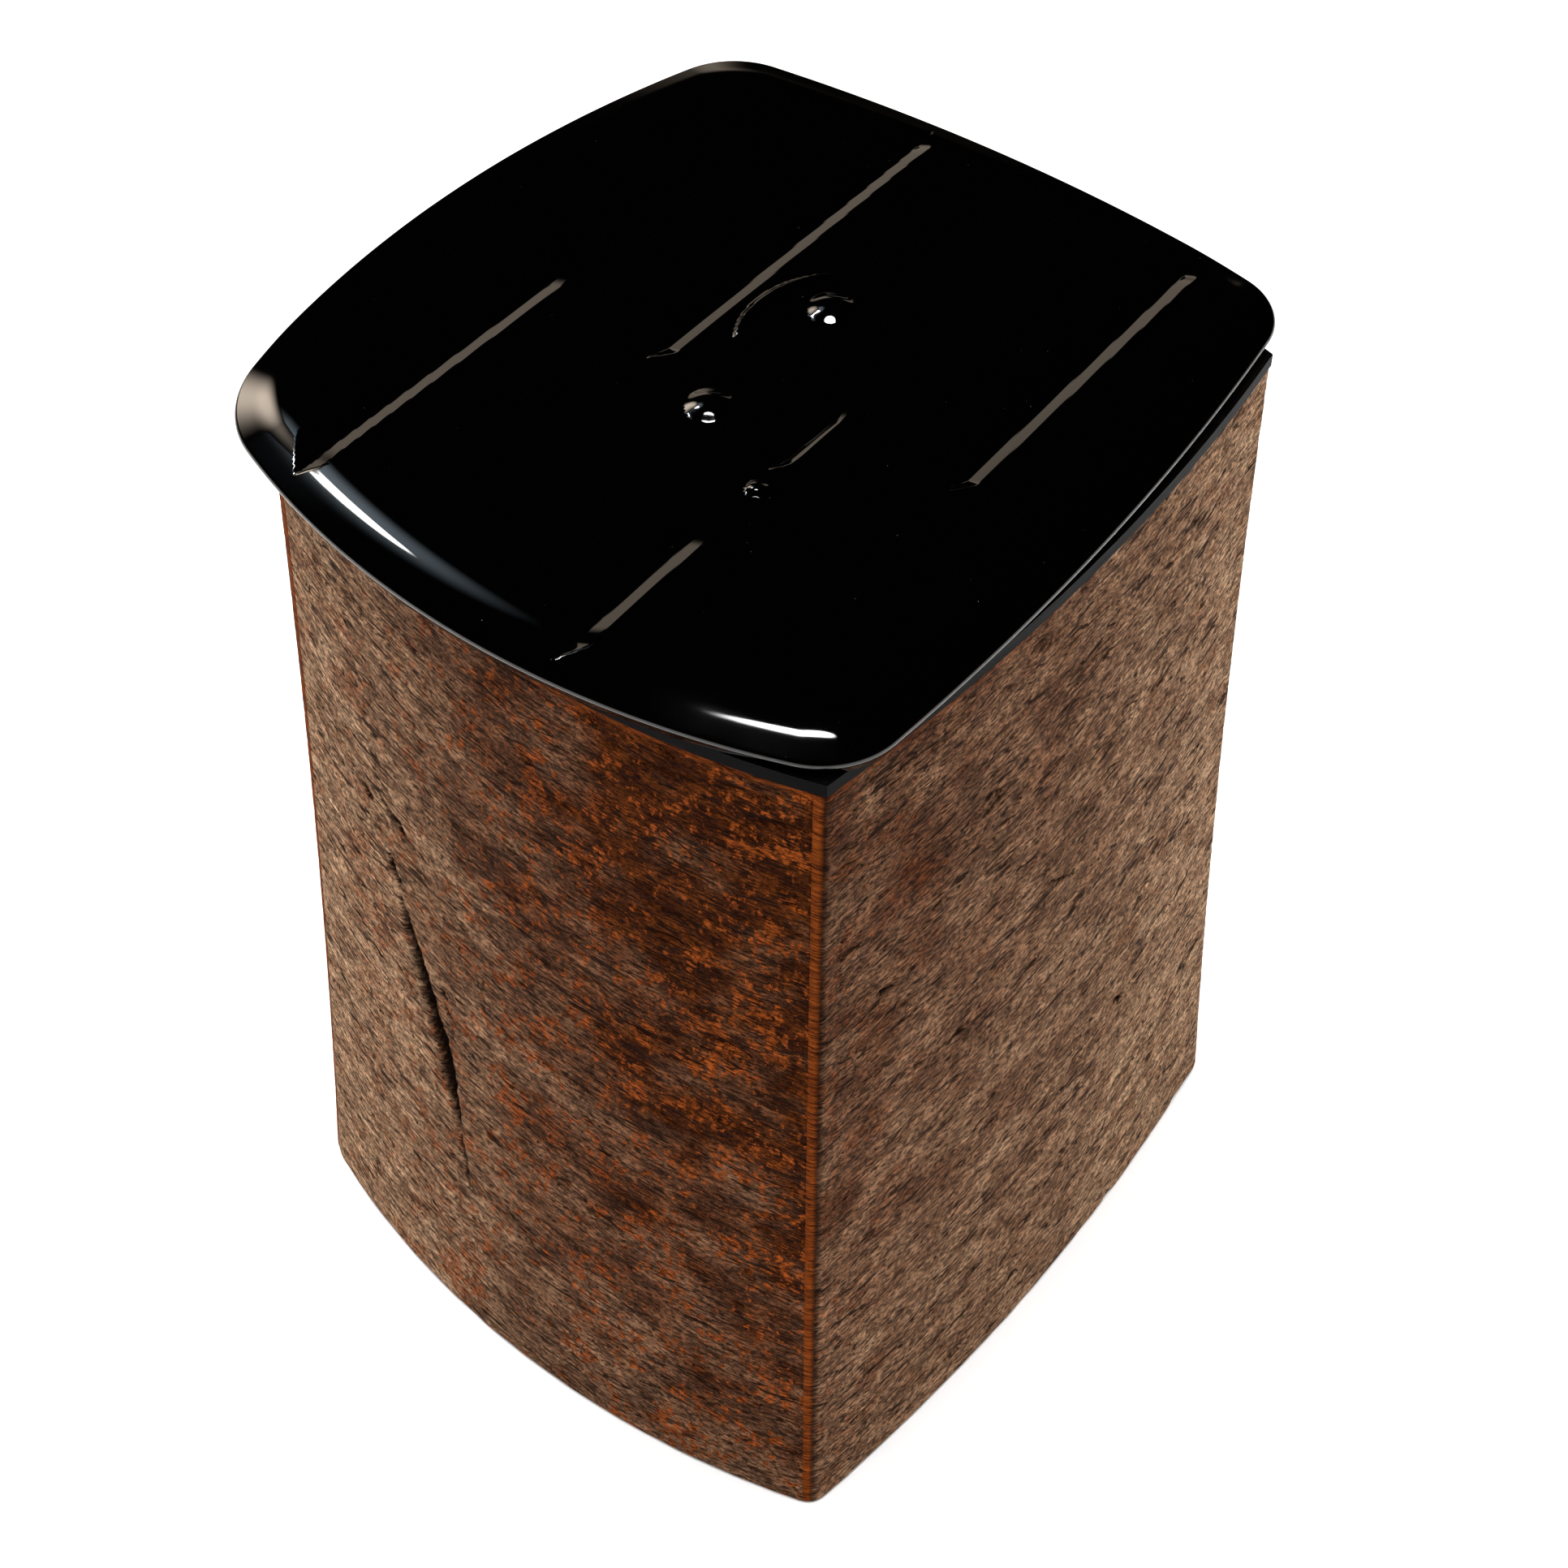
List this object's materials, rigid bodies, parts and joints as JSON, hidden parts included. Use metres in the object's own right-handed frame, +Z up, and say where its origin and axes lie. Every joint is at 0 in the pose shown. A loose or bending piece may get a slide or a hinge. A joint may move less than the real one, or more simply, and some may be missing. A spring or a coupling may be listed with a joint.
{
  "type": "tea caddy",
  "caption": "Four-sided tea caddy with bowed sides flaring to the foot, rough cherry-bark sheets over a wooden box, an inner lid, and a black lacquered lid with carved grooves.",
  "frame": {"origin": "centre of the underside, on the surface that the caddy stands on", "axes": "+Z up through the lid; +X and -Y are out of the two bark sides shown from the front right corner"},
  "size_m": [0.0837, 0.087, 0.1127],
  "materials": {
    "cherry_bark": "rough unpolished cherry bark, matt, with level streaks and small knots",
    "core_wood": "planed softwood boards, matt",
    "black_lacquer": "black lacquer polished to a mirror",
    "collar_lacquer": "black lacquer, satin",
    "base_lacquer": "dark lacquered veneer, satin, worn at the edge",
    "liner_wood": "smooth polished cherry, satin"
  },
  "bodies": {
    "caddy": {"wall_front": "core_wood", "wall_right": "core_wood", "wall_back": "core_wood", "wall_left": "core_wood", "bark_front": "cherry_bark", "bark_right": "cherry_bark", "bark_back": "cherry_bark", "bark_left": "cherry_bark", "mouth_rim": "black_lacquer", "base_board": "core_wood", "base_veneer": "base_lacquer", "liner_floor": "liner_wood", "liner": "liner_wood"},
    "lid": {"lid_top": "black_lacquer", "lid_collar": "collar_lacquer", "lid_drops": "black_lacquer", "lid_crescent": "black_lacquer"},
    "inner_lid": {"inner_lid": "liner_wood", "inner_lid_knob": "liner_wood"}
  },
  "joints": [
    {"name": "lid_lift", "type": "slide", "parent": "caddy", "child": "lid", "axis": [0, 0, 1], "range_m": [0, 0.06]},
    {"name": "inner_lid_lift", "type": "slide", "parent": "caddy", "child": "inner_lid", "axis": [0, 0, 1], "range_m": [0, 0.03]}
  ],
  "couplings": [
    {"joint": "inner_lid_lift", "follows": "lid_lift", "ratio": 0.5}
  ]
}
